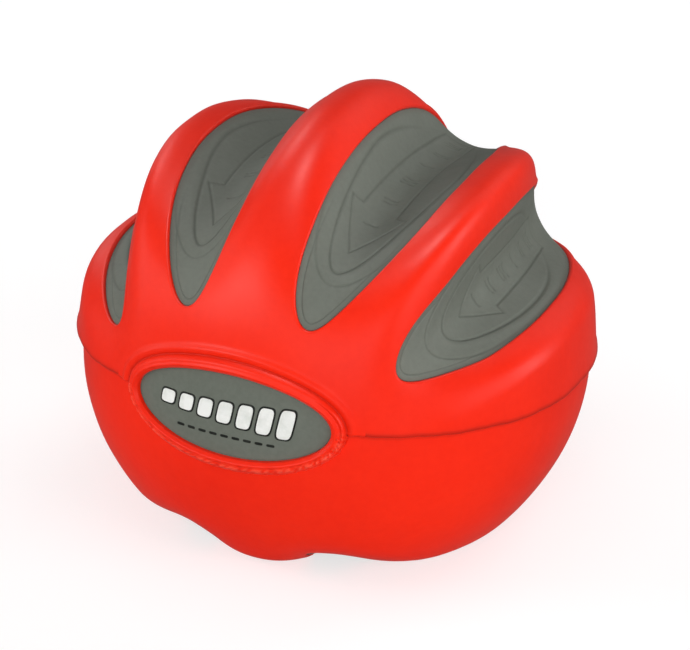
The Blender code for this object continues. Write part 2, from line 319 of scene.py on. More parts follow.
# -------------------------------------------------------------------- mesh tools
def put(name, verts, faces):
    """A smooth mesh object from points in mm about the body's centre."""
    mesh = bpy.data.meshes.new(name)
    mesh.from_pydata(((verts + CENTRE) * MM).tolist(), [], faces)
    mesh.shade_smooth()
    mesh.set_sharp_from_angle(angle=math.radians(50))
    obj = bpy.data.objects.new(name, mesh)
    bpy.context.scene.collection.objects.link(obj)
    return obj


def attribute(obj, name, values):
    layer = obj.data.attributes.new(name, "FLOAT", "POINT")
    layer.data.foreach_set("value", np.asarray(values, np.float32))


def grid_faces(rows, columns, close=False):
    """Quads of a lattice, wound row to column. close joins the last column to the first."""
    row, column = np.indices((rows - 1, columns if close else columns - 1)).reshape(2, -1)
    after = (column + 1) % columns
    start, end = row * columns, (row + 1) * columns
    return np.stack([start + column, start + after, end + after, end + column], 1)


def disc_faces(rings, around):
    """A closed lattice whose first ring is a single point."""
    faces = grid_faces(rings, around, close=True)
    return np.where(faces < around, 0, faces)


def compact(faces):
    """The points in use, and the faces renumbered to them."""
    used, index = np.unique(faces, return_inverse=True)
    return used, index.reshape(faces.shape)


def corners_of(face):
    """A face's corners without repeats."""
    return list(dict.fromkeys(face))


def quad_normals(points, faces):
    start, *rest = (points[faces[:, i]] for i in range(4))
    one, two, three = (corner - start for corner in rest)
    return np.cross(one, two) + np.cross(two, three)


def shaded(name, points, normals, faces, is_wall, wall_normals):
    """A mesh with its own shading normals, flat on the walls. Returns it and the points used."""
    used, packed = compact(faces)
    points, normals = points[used], normals[used]
    polygons, shading = [], []
    for face, wall, flat in zip(packed.tolist(), is_wall, wall_normals):
        corners = corners_of(face)
        if len(corners) > 2:
            polygons.append(corners)
            shading.extend([flat] * len(corners) if wall else normals[corners])
    obj = put(name, points, polygons)
    obj.data.normals_split_custom_set([tuple(vector) for vector in shading])
    return obj, used


def solid(name, verts, normals, faces, radius, thick=None, inner=None, extra=None, steps=5,
          shade=None):
    """Turns an open sheet into a closed shell.

    Each border point gets an edge rounded by radius (0 for a plain seam) that turns down
    into a wall. The sheet's inside lies thick below, or at inner where that is given.
    shade gives the shading normals where relief turns them. extra maps an attribute name
    to the sheet's values. Returns the object and each point's origin in the sheet.
    """
    # the winding follows the normals
    flip = (quad_normals(verts, faces) * normals[faces[:, 0]]).sum(1) < 0
    faces = np.where(flip[:, None], faces[:, ::-1], faces)
    edges = np.concatenate([faces[:, [i, (i + 1) % 4]] for i in range(4)])
    edges = edges[edges[:, 0] != edges[:, 1]]
    key = np.sort(edges, 1) @ np.array([len(verts), 1])
    _, index, count = np.unique(key, return_inverse=True, return_counts=True)
    border = edges[count[index] == 1]
    ring = np.unique(border)
    first, last = border.T
    first_at, last_at = np.searchsorted(ring, border).T
    side = unit(np.cross(verts[last] - verts[first], normals[first] + normals[last]))
    out = np.zeros((len(ring), 3))
    np.add.at(out, first_at, side)
    np.add.at(out, last_at, side)
    ring_verts, ring_normals = verts[ring], normals[ring]
    out = unit(out - (out * ring_normals).sum(1, keepdims=True) * ring_normals)
    radius = np.broadcast_to(radius, len(verts))[ring][:, None]
    shade = normals if shade is None else shade
    if inner is None:
        inner = verts - normals * thick
        inner[ring] = ring_verts + out * radius - ring_normals * thick

    points, shading, origin = [verts], [shade], [np.arange(len(verts))]
    bands = [ring]
    for j in range(1, steps + 1):
        turn = math.pi / 2 * j / steps
        drop = ring_normals * radius * (1 - math.cos(turn))
        points.append(ring_verts + out * radius * math.sin(turn) - drop)
        rounded = unit(shade[ring] * math.cos(turn) + out * math.sin(turn))
        shading.append(rounded if radius.any() else out)
        origin.append(ring)
        bands.append(len(verts) + (j - 1) * len(ring) + np.arange(len(ring)))
    under = len(verts) + steps * len(ring)
    points = np.concatenate(points + [inner])
    shading = np.concatenate(shading + [-normals])
    origin = np.concatenate(origin + [np.arange(len(verts))])

    all_faces = [faces]
    for upper, lower in zip(bands, bands[1:]):
        quads = [upper[last_at], upper[first_at], lower[first_at], lower[last_at]]
        all_faces.append(np.stack(quads, 1))
    foot = bands[-1]
    all_faces.append(np.stack([foot[last_at], foot[first_at], under + first, under + last], 1))
    all_faces.append(under + faces[:, ::-1])
    is_wall = np.concatenate([np.full(len(part), i == steps + 1)
                              for i, part in enumerate(all_faces)])
    # on a plain seam the rounding bands fold onto the border
    remap = np.arange(len(points))
    plain = radius[:, 0] == 0
    for band in bands[1:]:
        remap[band[plain]] = ring[plain]
    all_faces = remap[np.concatenate(all_faces)]
    flat = unit(quad_normals(points, all_faces))
    obj, used = shaded(name, points, shading, all_faces, is_wall, flat)
    origin = origin[used]
    for key_name, values in (extra or {}).items():
        attribute(obj, key_name, values[origin])
    obj["parts"] = 1
    return obj, origin


# ------------------------------------------------------- sheets grown from a curve
def gaps(points):
    """Distance from each point of a closed curve to the next."""
    return np.linalg.norm(np.roll(points, -1, 0) - points, axis=1)


def respaced(curve, cost, count):
    """count points along a closed curve, spaced evenly by the cost of its steps."""
    total = np.concatenate([[0], np.cumsum(cost)])
    ring = np.arange(len(curve) + 1)
    pick = np.interp(np.arange(count) * total[-1] / count, total, ring)
    closed = np.vstack([curve, curve[:1]])
    return np.stack([np.interp(pick, ring, column) for column in closed.T], 1)


def lip_start(phi, beta, inset=0.0):
    """A pad's outline as (phi, beta) pairs, evenly spaced and grown to where its lip starts."""
    # evenly spaced first, so that the growth has steady tangents
    cost = gaps(outer(direction(phi, beta), inset))
    phi, beta = respaced(np.stack([phi, beta], 1), cost, len(phi)).T
    ray = direction(phi, beta)
    points = outer(ray, inset)
    along = np.roll(points, -2, 0) - np.roll(points, 2, 0)
    out = unit(np.cross(along, normal(ray, inset)))
    if (out * (points - points.mean(0))).sum() < 0:
        out = -out
    out = out * (LIP_RADIUS + LIP_CLEAR)

    def slope(phi_step, beta_step):
        after = outer(direction(phi + phi_step, beta + beta_step), inset)
        before = outer(direction(phi - phi_step, beta - beta_step), inset)
        return (after - before) / (2 * (phi_step + beta_step))

    # the steps in phi and beta that move a point by out
    by_phi, by_beta = slope(1e-3, 0), slope(0, 1e-3)
    phi_square, beta_square = (by_phi**2).sum(1), (by_beta**2).sum(1)
    shared = (by_phi * by_beta).sum(1)
    phi_out, beta_out = (by_phi * out).sum(1), (by_beta * out).sum(1)
    det = phi_square * beta_square - shared * shared
    phi = phi + (phi_out * beta_square - beta_out * shared) / det
    beta = beta + (beta_out * phi_square - phi_out * shared) / det
    return np.stack([phi, beta], 1)


def cast(limits, centre, start, reach, steps=45):
    """From start, away from centre, the last point inside every limit, and which one stopped it."""
    ray = (start - centre) * (1.0, 0.5)

    def limits_at(length):
        return limits(*(start + length * ray).T)

    count = len(start)
    near, far = np.zeros(count), np.full(count, np.inf)
    lengths = np.linspace(0, reach, 120)
    inside = np.ones(count, bool)
    for before, after in zip(lengths[:-1], lengths[1:]):
        still = limits_at(after).min(0) > 0
        newly = inside & ~still
        near[newly], far[newly] = before, after
        inside &= still
    far[inside] = near[inside] = reach
    for _ in range(steps):
        middle = (near + far) / 2
        still = limits_at(middle[:, None]).min(0) > 0
        near, far = np.where(still, middle, near), np.where(still, far, middle)
    which = limits_at((near + 1e-4)[:, None]).argmin(0)
    return start + near[:, None] * ray, which


def ring_sheet(limits, centre, start, reach, rings, power):
    """The two parameters of a lattice from a closed inner curve out to the limits.

    Where the stopping limit changes, the nearer ray is moved onto the corner.
    """
    end, which = cast(limits, centre, start, reach)
    for i in range(len(start)):
        j = (i + 1) % len(start)
        if which[i] == which[j]:
            continue
        near, far = start[i], start[j]
        for _ in range(4):
            tries = near + np.linspace(0, 1, 26)[:, None] * (far - near)
            ends, stopped = cast(limits, centre, tries, reach, 40)
            change = max(int(np.argmax(stopped != which[i])), 1)
            near, far, corner = tries[change - 1], tries[change], ends[change]
        closer = np.linalg.norm(corner - end[i]) < np.linalg.norm(corner - end[j])
        end[i if closer else j] = corner
    share = np.linspace(0, 1, rings) ** power
    return (start[None] + share[:, None, None] * (end - start)[None]).reshape(-1, 2).T


def even_rays(limits, centre, curve, reach, count, place):
    """Picks points of the curve so that neither they nor the ends of their rays lie far apart."""
    end, _ = cast(limits, centre, curve, reach, 25)
    cost = 0.8 * gaps(place(*curve.T)) + np.minimum(gaps(place(*end.T)), 12.0)
    return respaced(curve, cost, count)


def border_radius(limits, rounded, size):
    """Rounding of a sheet's border: size on the rounded rows of limits, 0 on the others."""
    touching = np.abs(limits) < 0.02
    sharp = np.delete(touching, rounded, 0).any(0)
    return np.where(touching[rounded].any(0) & ~sharp, size, 0.0)


# ---------------------------------------------------------------- red upper skin
def tip_round(lat, reach):
    """Roundness of a finger pad's outline: rounder towards the front tip."""
    return PAD_ROUND + 0.45 * rise(-lat / reach, 0.50, 0.98)


def lean(k, lat):
    return LEAN[k] * rise(-lat / PAD_REACH[k], 0.5, 1.0)


def finger_border(k):
    across, along = np.cos(angles(1440)), np.sin(angles(1440))
    lat = pad_reach(k, along) * signed_power(along, 2 / PAD_POWER)
    width = PAD_HALF * signed_power(across, 2 / tip_round(lat, PAD_REACH[k]))
    return lip_start(phi_at_fan(GROOVES[k] + lean(k, lat) + width, lat), np.radians(lat))


def oval_reach(x, z, middle, half):
    """Distance from an oval's middle, 1 on the oval."""
    return np.hypot((x - middle[0]) / half[0], (z - middle[1]) / half[1])


def badge_field(points, grow, scale):
    """Positive outside the badge's oval grown by grow mm, measured on the front only."""
    x, y, z = axes_of(points)
    reach = oval_reach(x, z, BADGE_AT, [half + grow for half in BADGE_HALF])
    return np.where(y < 0, (reach - 1) * scale, 50.0)


def rim_field(points):
    return badge_field(points, RIM_BLEND, BADGE_HALF[1])


def back_field(points):
    """Positive outside the oval of skin at the back."""
    x, y, z = axes_of(points)
    reach = oval_reach(x, z, BACK_AT, BACK_HALF)
    return np.where(y > 0, (reach - 1) * BACK_HALF[1], 50.0)


def upper_limits(phi, beta, low, high):
    """The fields that bound an upper zone, each positive inside, one row each."""
    ray = direction(phi, beta)
    points, fan = outer(ray), fan_at(ray)
    wide = np.full_like(fan, 10.0)
    return np.stack([
        wide if low == -OPEN else fan - low,
        wide if high == OPEN else high - fan,
        points[..., 2] - UPPER_GAP - parting(points),
        rim_field(points),
        back_field(points),
    ])


def skin_upper(k):
    """The upper skin of one finger, from the lip round its pad to the seams and parting line."""
    around, rings = ((420, 34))
    reach = 6.0

    def limits(phi, beta):
        return upper_limits(phi, beta, *ZONES[k])

    def place(phi, beta):
        return outer(direction(phi, beta))

    centre = np.array([phi_at_fan(np.array([GROOVES[k]]), np.zeros(1))[0], 0.0])
    curve = even_rays(limits, centre, finger_border(k), reach, around, place)
    phi, beta = ring_sheet(limits, centre, curve, reach, rings, power=1.5)
    ray = direction(phi, beta)
    verts, normals = outer(ray), normal(ray)
    radius = border_radius(limits(phi, beta), [2], 0.3)
    radius[:around] = LIP_RADIUS
    lat = np.degrees(latitude(ray))
    off = fan_at(ray) - GROOVES[k] - lean(k, lat)
    near = (off / PAD_HALF) ** 2 + np.abs(lat / pad_reach(k, lat)) ** PAD_POWER - 1
    # a low roll stands round the pad's edge and another along the parting line
    verts = verts + normals * (0.24 * bell(near, 0.15, 0.12))[:, None]
    roll = 0.35 * near_parting(verts, 1.1) * np.clip(rim_field(verts) / 1.5, 0, 1)
    verts = verts + normals * roll[:, None]
    verts = verts + normals * skin_relief(verts)[:, None]
    # seam: painted shade along the parting line, darkest at the line and gone about 0.2 mm above it
    extra = {"edge": np.clip(near * 2.5, 0, 1), "seam": near_parting(verts, 0.22)}
    faces = grid_faces(rings, around, close=True)
    obj, origin = solid(f"skin_upper_{k + 1}", verts, normals, faces, radius, SKIN, extra=extra)
    weigh(obj, finger_weight(k, ray)[origin])
    return obj


def skin_back():
    """The still oval of upper skin at the back, which ends on the parting line below."""
    around, rings = ((200, 20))
    start_radius, reach = 0.02, 1600.0

    def limits(x, z):
        points = outer(ray_at(x, z, depth=BACK_DEPTH))
        inside = (1 - oval_reach(x, z, BACK_AT, BACK_HALF)) * BACK_HALF[1]
        return np.stack([inside, z - UPPER_GAP - parting(points)])

    turn = angles(around)
    centre = np.array(BACK_AT)
    start = centre + start_radius * np.stack([np.cos(turn), np.sin(turn)], 1)
    x, z = ring_sheet(limits, centre, start, reach, rings, power=1.0)
    ray = ray_at(x, z, depth=BACK_DEPTH)
    verts, normals = outer(ray), normal(ray)
    radius = border_radius(limits(x, z), [1], 0.3)
    # seam: painted shade along the parting line, darkest at the line and gone about 0.2 mm above it
    extra = {"edge": np.ones(len(verts)), "seam": near_parting(verts, 0.22)}
    verts = verts + normals * (0.35 * near_parting(verts, 1.1))[:, None]
    verts = verts + normals * skin_relief(verts)[:, None]
    faces = disc_faces(rings, around)
    obj, _ = solid("skin_upper_back", verts, normals, faces, radius, SKIN, extra=extra)
    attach(obj, "body")
    return obj


# ------------------------------------------------------------------- badge rim
def upper_side(theta):
    return np.clip(np.sin(theta) * 3 + 0.9, 0, 1)


def rim_height(off, theta):
    """Height of the oval rim above the skin, by distance outside the grey plate."""
    upper = upper_side(theta)
    right_end = np.clip(np.cos(theta) * 5 - 3.6, 0, 1)
    crown = 0.66 * np.exp(-np.abs((off - 0.90) / 0.88) ** 3.2)
    bead = 0.16 * bell(off, 0.52, 0.26)
    crease = -0.20 * upper * bell(off, 2.02, 0.14)
    swell = 0.30 * upper * bell(off, 2.75, 0.55)
    double = right_end * (0.22 * bell(off, 1.55, 0.2) - 0.18 * bell(off, 1.2, 0.16))
    return crown + bead + crease + swell + double


def badge_rim():
    around, near_rows, far_rows = ((360, 26, 18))
    near = np.linspace(0.12, RIM_OUT, near_rows)
    far = np.linspace(RIM_OUT, RIM_BLEND, far_rows)[1:]
    rows = len(near) + len(far)
    off, theta = np.meshgrid(np.concatenate([near, far]), angles(around), indexing="ij")
    off, theta = off.ravel(), theta.ravel()
    lower_side = np.clip(-np.sin(theta) * 6 + 0.6, 0, 1)
    ragged = 0.12 * np.sin(31 * theta + 0.5) * np.sin(13 * theta)
    ragged = ragged + 0.08 * np.sin(67 * theta + 1) + 0.05 * np.sin(109 * theta + 2)
    off = off + ragged * lower_side * np.clip((off - 1.2) / 0.7, 0, 1)
    x = BADGE_AT[0] + (BADGE_HALF[0] + off) * np.cos(theta)
    z = BADGE_AT[1] + (BADGE_HALF[1] + off) * np.sin(theta)
    # beyond the rim the piece ends on the parting line
    drop = parting(outer(ray_at(x, z))) + UPPER_GAP - BADGE_AT[1]
    z = z + drop * rise(off, 1.2, 1.9) * bell(np.sin(theta), 0, 0.09)
    ray = ray_at(x, z)
    skin, normals = outer(ray), normal(ray)
    # the part that blends into the skin stands on the upper half only
    faces = grid_faces(rows, around, close=True)
    row, column = faces[:, 0] // around, faces[:, 0] % around
    faces = faces[((column + 0.5) / around < 0.5) | (row < near_rows - 1)]
    # a ragged flash stands along the rim's lower side
    torn = 0.9 * np.sin(17 * theta + 1.2) * np.sin(41 * theta)
    torn = np.clip(0.55 + torn + 0.5 * np.sin(89 * theta + 9 * off), 0, 1)
    flash = lower_side * bell(off, 1.35, 0.42) * torn
    height = rim_height(off, theta) + 0.16 * flash
    height = height + skin_relief(skin) * np.clip((off - 2.2) / 2, 0, 1)
    verts = skin + normals * height[:, None]
    # the crown's own slope turns the normals
    lattice = verts.reshape(rows, around, 3)
    outwards = np.gradient(lattice, axis=0)
    onwards = np.roll(lattice, -1, 1) - np.roll(lattice, 1, 1)
    shade = facing(unit(np.cross(outwards, onwards)).reshape(-1, 3), normals)
    share = np.clip((RIM_BLEND - 0.15 - off) / 0.6, 0, 1)[:, None]
    shade = unit(shade * share + normals * (1 - share))
    flecks = np.clip(np.sin(23 * theta + 2) + np.sin(61 * theta), 0, 1) * 0.8
    # painted shade in the crease on the rim's upper side, plus dark flecks along its lower side;
    # both go into the seam mask
    dark = bell(off, 2.02, 0.20) * upper_side(theta) + lower_side * bell(off, 0.80, 0.10) * flecks
    # rounding at the plate, at the rim's foot and on the parting line; none at the seam
    places = [off < 0.14, off < RIM_OUT + 0.3, off <= RIM_BLEND - 0.01]
    radius = np.select(places, [0.10, 0.22, 0.3], 0.0)
    extra = {"edge": np.ones(len(verts)), "flash": flash, "seam": np.clip(0.6 * dark, 0, 1)}
    obj, _ = solid("badge_rim", verts, normals, faces, radius, SKIN, shade=shade, extra=extra)
    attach(obj, "body")
    return obj


# ---------------------------------------------------------------- red lower skin
def flat_of(ray):
    """Plane coordinates about straight down, for a ray on the lower half."""
    delta = np.arccos(np.clip(-ray[..., 2], -1, 1))
    return delta[..., None] * unit(ray[..., :2])


def of_flat(x, y):
    delta = np.hypot(x, y)
    scale = np.where(delta > 1e-9, np.sin(delta) / np.maximum(delta, 1e-9), 1.0)
    return np.stack([x * scale, y * scale, -np.cos(delta)], -1)


def thumb_border(side):
    turn = angles(1440)
    lat = THUMB_PAD_REACH * signed_power(np.sin(turn), 2 / THUMB_PAD_POWER)
    under = THUMBS[side] + THUMB_PAD_HALF * np.cos(turn)
    return lip_start(phi_at_under(under, lat), np.radians(lat), LIP)


def skin_lower(side):
    """One half of the lower skin, from the lip round its thumb pad to the seam at x = 0."""
    around, rings = ((360, 44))
    reach = 12.0
    sign = (-1, 1)[side]

    def place(x, y):
        return outer(of_flat(x, y), LIP)

    def limits(x, y):
        points = place(x, y)
        below = parting(points) - LOWER_GAP - points[..., 2]
        return np.stack([sign * x * 30, below, badge_field(points, RIM_OUT + 0.25, 7.5)])

    curve = flat_of(direction(*thumb_border(side).T))
    phi = phi_at_under(np.array([THUMBS[side]]), np.zeros(1))
    centre = flat_of(direction(phi, np.zeros(1)))[0]
    curve = even_rays(limits, centre, curve, reach, around, place)
    x, y = ring_sheet(limits, centre, curve, reach, rings, power=1.2)
    ray = of_flat(x, y)
    verts, normals = outer(ray, LIP), normal(ray, LIP)
    radius = border_radius(limits(x, y), [1, 2], 0.25)
    radius[:around] = LIP_RADIUS
    relief = skin_relief(verts) * np.clip((verts[:, 2] + 22) / 3, 0, 1)
    verts = verts + normals * relief[:, None]
    # seam: painted shade along the parting line, darkest at the line and gone about 0.25 mm below it
    seam = np.exp(-np.clip(parting(verts) - LOWER_GAP - verts[:, 2], 0, 9) / 0.25)
    extra = {"edge": np.ones(len(ray)), "seam": seam}
    faces = grid_faces(rings, around, close=True)
    name = f"skin_lower_{SIDES[side]}"
    obj, origin = solid(name, verts, normals, faces, radius, SKIN, extra=extra)
    weigh(obj, thumb_weight(side, ray)[origin])
    return obj


red_pieces = [skin_upper(k) for k in range(4)]
red_pieces += [badge_rim(), skin_back(), skin_lower(0), skin_lower(1)]


# --------------------------------------------------------------------- grey pads
def stroke_distance(x, y, strokes):
    """Distance to the nearest of some straight strokes, each a pair of (x, y) ends."""
    distances = []
    for (start_x, start_y), (end_x, end_y) in strokes:
        step_x, step_y = end_x - start_x, end_y - start_y
        share = (x - start_x) * step_x + (y - start_y) * step_y
        share = np.clip(share / (step_x**2 + step_y**2), 0, 1)
        distances.append(np.hypot(x - start_x - share * step_x, y - start_y - share * step_y))
    return np.min(distances, axis=0)


def line(distance, half):
    """A rounded line's strength, 1 in its middle and 0 from half mm away."""
    return fall(np.abs(distance), 0, half)


def pad_sheet(half, front, behind, power, roundness, rows, columns):
    """The pad's lattice as offset and latitude in degrees. Its end rows are single tips."""
    along = np.sin(np.linspace(-1, 1, rows) * math.pi / 2)
    along, across = np.meshgrid(along, np.linspace(-1, 1, columns), indexing="ij")
    lat = np.where(along < 0, front, behind) * along
    width = np.clip(1 - np.abs(along) ** power, 0, 1) ** (1 / roundness(lat, front))
    return across * half * width, lat


def outline_distance(off, lat, half, reach, power, scales, roundness=2.0):
    """Distance in mm outside an outline, good near it. scales are mm to a degree both ways."""
    across, along = np.abs(off) / half, np.abs(lat) / reach
    field = across**roundness + along**power - 1
    slope = np.hypot(
        roundness * across ** (roundness - 1) / half / scales[0],
        power * along ** (power - 1) / reach / scales[1],
    )
    return field / np.maximum(slope, 1e-6)


def pad(name, body, ray, inset, weights, height, mask, edge):
    """A closed pad with its relief on top and a coarser underside."""
    rows, columns = height.shape
    normals = normal(ray, inset)
    verts = outer(ray, inset) - normals * (PAD_SINK - height)[..., None]
    # the relief turns the normals, so they come from the finished lattice
    down, across = np.gradient(verts, axis=0), np.gradient(verts, axis=1)
    shade = facing(unit(np.cross(across, down)), normals)
    narrow = np.linalg.norm(across, axis=-1) < 1e-3
    shade[narrow] = normals[narrow]
    few = 11
    picked = np.linspace(0, columns - 1, few).round().astype(int)
    base = rows * columns
    below = (verts - normals * PAD_THICK)[:, picked]
    points = np.concatenate([verts.reshape(-1, 3), below.reshape(-1, 3)])
    shading = np.concatenate([shade.reshape(-1, 3), -normals[:, picked].reshape(-1, 3)])
    top = grid_faces(rows, columns)
    faces = [top, grid_faces(rows, few)[:, ::-1] + base]
    row = np.arange(rows - 1)
    for column, below_column, order in (
        (0, 0, [1, 0, 2, 3]),
        (columns - 1, few - 1, [0, 1, 3, 2]),
    ):
        above, under = row * columns + column, base + row * few + below_column
        faces.append(np.stack([above, above + columns, under, under + few], 1)[:, order])
    # each tip row is one point
    remap = np.arange(len(points))
    for start, width in ((0, columns), (base, few)):
        for tip in (start, start + (rows - 1) * width):
            remap[tip : tip + width] = tip
    faces = remap[np.concatenate(faces)]
    # wind the top so that it faces outwards
    sample = top[len(top) // 2]
    start, one, two = points[sample[:3]]
    if np.cross(one - start, two - start) @ shading[sample[0]] < 0:
        faces = faces[:, ::-1]
    is_wall = np.arange(len(faces)) >= len(faces) - 2 * (rows - 1)
    start, one, two = (points[faces[:, i]] for i in range(3))
    flat = unit(np.cross(one - start, two - start))
    obj, used = shaded(name, points, shading, faces, is_wall, flat)

    def spread(values):
        return np.concatenate([values.ravel(), values[:, picked].ravel()])[used]

    attribute(obj, "line", spread(mask))
    # border carries the painted shade along the pad's edge in the grey material
    attribute(obj, "border", spread(np.clip(edge / 2.0, 0, 1)))
    weigh(obj, spread(weights))
    return obj


# a pad's engraving: ovals as (reach, half, power), then the latitudes of the arrow's
# tip, barbs, notches and tail, and the half widths of its head and shaft
OUTER_MARKS = dict(oval1=(34.3, 9.8, 3.0), oval2=(27.0, 8.0, 2.2), tip=-19.5, barb=-9.5,
                   notch=-8.4, tail=26.0, head=5.6, shaft=3.9)
INNER_MARKS = dict(oval1=(42.4, 10.5, 3.0), oval2=(38.5, 8.4, 1.45), tip=-31.0, barb=-17.0,
                   notch=-15.4, tail=33.0, head=6.1, shaft=3.8)
MARKS = (OUTER_MARKS, INNER_MARKS, INNER_MARKS, OUTER_MARKS)


def finger_relief(k, off, lat, points):
    """Engraved ovals, arrow and ticks. Returns the height, the lines' mask and the edge distance."""
    marks = MARKS[k]
    middle = off.shape[1] // 2
    mid_lat = lat[:, middle]
    x_scale = np.hypot(points[..., 0], points[..., 2] + FAN_BELOW)[:, middle] * math.pi / 180
    steps = np.linalg.norm(np.diff(points[:, middle], axis=0), axis=1)
    mid_y = np.concatenate([[0], np.cumsum(steps)])
    mid_y = mid_y - np.interp(0.0, mid_lat, mid_y)
    scales = x_scale[:, None], np.gradient(mid_y, mid_lat)[:, None]
    x, y = off * scales[0], np.broadcast_to(mid_y[:, None], off.shape)

    def at(fan, mark_lat):
        across = fan * np.interp(mark_lat, mid_lat, x_scale)
        return across, np.interp(mark_lat, mid_lat, mid_y)

    def from_oval(key):
        reach, half, power = marks[key]
        return outline_distance(off, lat, half, reach, power, scales)

    height, mask = np.zeros_like(off), np.zeros_like(off)
    # the outer oval is a fine line with a soft step outside it, the inner one a fine line
    # with a bead beside it; both fade towards the back
    from_outer, from_inner = from_oval("oval1"), from_oval("oval2")
    fade = fall(lat, 2.0, 24.0)
    for distance, half, depth in ((from_outer, 0.30, 0.10), (from_inner, 0.27, 0.16)):
        engraved = line(distance, half) * depth
        height -= engraved * (0.15 + 0.85 * fade)
        mask = np.maximum(mask, engraved / 0.18 * (0.1 + 0.9 * fade))
    height += 0.08 * bell(from_inner, 0.58, 0.36) * fade
    height -= 0.08 * rise(from_outer, 0.1, 1.3) * fade
    # the arrow points to the front
    notch, tail, shaft = marks["notch"], marks["tail"], marks["shaft"]
    strokes = [(at(-shaft, tail), at(shaft, tail))]
    for sign in (-1, 1):
        corners = [
            at(0, marks["tip"]),
            at(sign * marks["head"], marks["barb"]),
            at(sign * shaft, notch),
            at(sign * shaft, tail),
        ]
        strokes += zip(corners, corners[1:])
    distance = stroke_distance(x, y, strokes)
    height -= 0.13 * line(distance, 0.24)
    mask = np.maximum(mask, line(distance, 0.24) * 0.8)
    # inside the arrow stand groups of one, two and three short ticks in turn
    ticks = []
    for i, tick_lat in enumerate(np.linspace(notch - 4.0, tail - 5.0, 6)):
        tick_x, tick_y = at(0.3, tick_lat)
        for j in range(1 + i % 3):
            lift = tick_y + (j - (i % 3) / 2) * 0.85
            ticks.append(((tick_x - 1.05, lift - 0.2), (tick_x + 0.85, lift + 0.2)))
    distance = stroke_distance(x, y, ticks)
    height -= 0.17 * line(distance, 0.26)
    mask = np.maximum(mask, line(distance, 0.26))
    # the relief dies away towards the pad's edge
    edge = -outline_distance(off, lat, PAD_HALF, pad_reach(k, lat), PAD_POWER, scales,
                             tip_round(lat, PAD_REACH[k]))
    height *= rise(edge, 0.2, 0.8)
    # a hair line follows the outline just inside it near the front tip
    hair = line(edge - 0.95, 0.2) * fall(lat, -32, -18)
    height -= 0.09 * hair
    return height, np.maximum(mask, 0.55 * hair), edge


def finger_pad(k):
    rows, columns = ((400, 112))
    half_gap, reach_gap = 0.04, 0.05
    off, lat = pad_sheet(PAD_HALF - half_gap, PAD_REACH[k] - reach_gap,
                         PAD_REACH_BACK - reach_gap, PAD_POWER, tip_round, rows, columns)
    ray = direction(phi_at_fan(GROOVES[k] + off + lean(k, lat), lat), np.radians(lat))
    relief = finger_relief(k, off, lat, outer(ray))
    obj = pad(f"pad_finger_{k + 1}", FINGER_BODIES[k], ray, 0.0, finger_weight(k, ray), *relief)
    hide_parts(f"finger_pad_{k + 1}")
    return obj


# the thumb pads' engraved ovals: reach, half, power, the line's half width and depth
THUMB_OVALS = ((44, 9.4, 2.4, 0.55, 0.26), (34, 6.6, 2.2, 0.42, 0.26))
THUMB_SCALES = (0.46, 0.55)  # mm to a degree across and along


def thumb_pad(side):
    rows, columns = ((260, 84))
    half_gap, reach_gap = 0.06, 0.08
    reach = THUMB_PAD_REACH - reach_gap
    off, lat = pad_sheet(THUMB_PAD_HALF - half_gap, reach, reach, THUMB_PAD_POWER,
                         lambda *_: 2.0, rows, columns)
    ray = direction(phi_at_under(THUMBS[side] + off, lat), np.radians(lat))
    height, mask = np.zeros_like(off), np.zeros_like(off)
    for oval_along, half, power, line_half, depth in THUMB_OVALS:
        distance = outline_distance(off, lat, half, oval_along, power, THUMB_SCALES)
        engraved = line(distance, line_half)
        height -= depth * engraved
        mask = np.maximum(mask, engraved)
    edge = -outline_distance(off, lat, THUMB_PAD_HALF, THUMB_PAD_REACH, THUMB_PAD_POWER,
                             THUMB_SCALES)
    height *= rise(edge, 0.2, 0.8)
    weights = thumb_weight(side, ray)
    name = SIDES[side]
    obj = pad(f"pad_thumb_{name}", THUMB_BODIES[side], ray, LIP, weights, height, mask, edge)
    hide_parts(f"thumb_pad_{name}")
    return obj


# ------------------------------------------------------------------- badge plate
def badge_plate():
    around, rings = ((300, 36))
    share, theta = np.meshgrid(np.linspace(0, 1, rings), angles(around), indexing="ij")
    share, theta = share.ravel(), theta.ravel()
    half_x, half_z = BADGE_HALF
    gap = 0.01
    x = BADGE_AT[0] + (half_x - gap) * share * np.cos(theta)
    z = BADGE_AT[1] + (half_z - gap) * share * np.sin(theta)
    ray = ray_at(x, z)
    normals = normal(ray)
    from_edge = (1 - share) * np.hypot(half_x * np.cos(theta), half_z * np.sin(theta))
    sink = 0.10 + 0.12 * fall(from_edge, 0, 0.5)
    verts = outer(ray) - normals * sink[:, None]
    radius = np.zeros(len(verts))
    radius[-around:] = 0.05
    # border carries the painted shade where the plate meets the rim
    extra = {"border": np.clip(from_edge / 1.5, 0, 1), "line": np.zeros(len(verts))}
    faces = disc_faces(rings, around)
    obj, _ = solid("badge_face", verts, normals, faces, radius, thick=1.4, extra=extra)
    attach(obj, "body")
    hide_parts("badge_plate")
    return obj


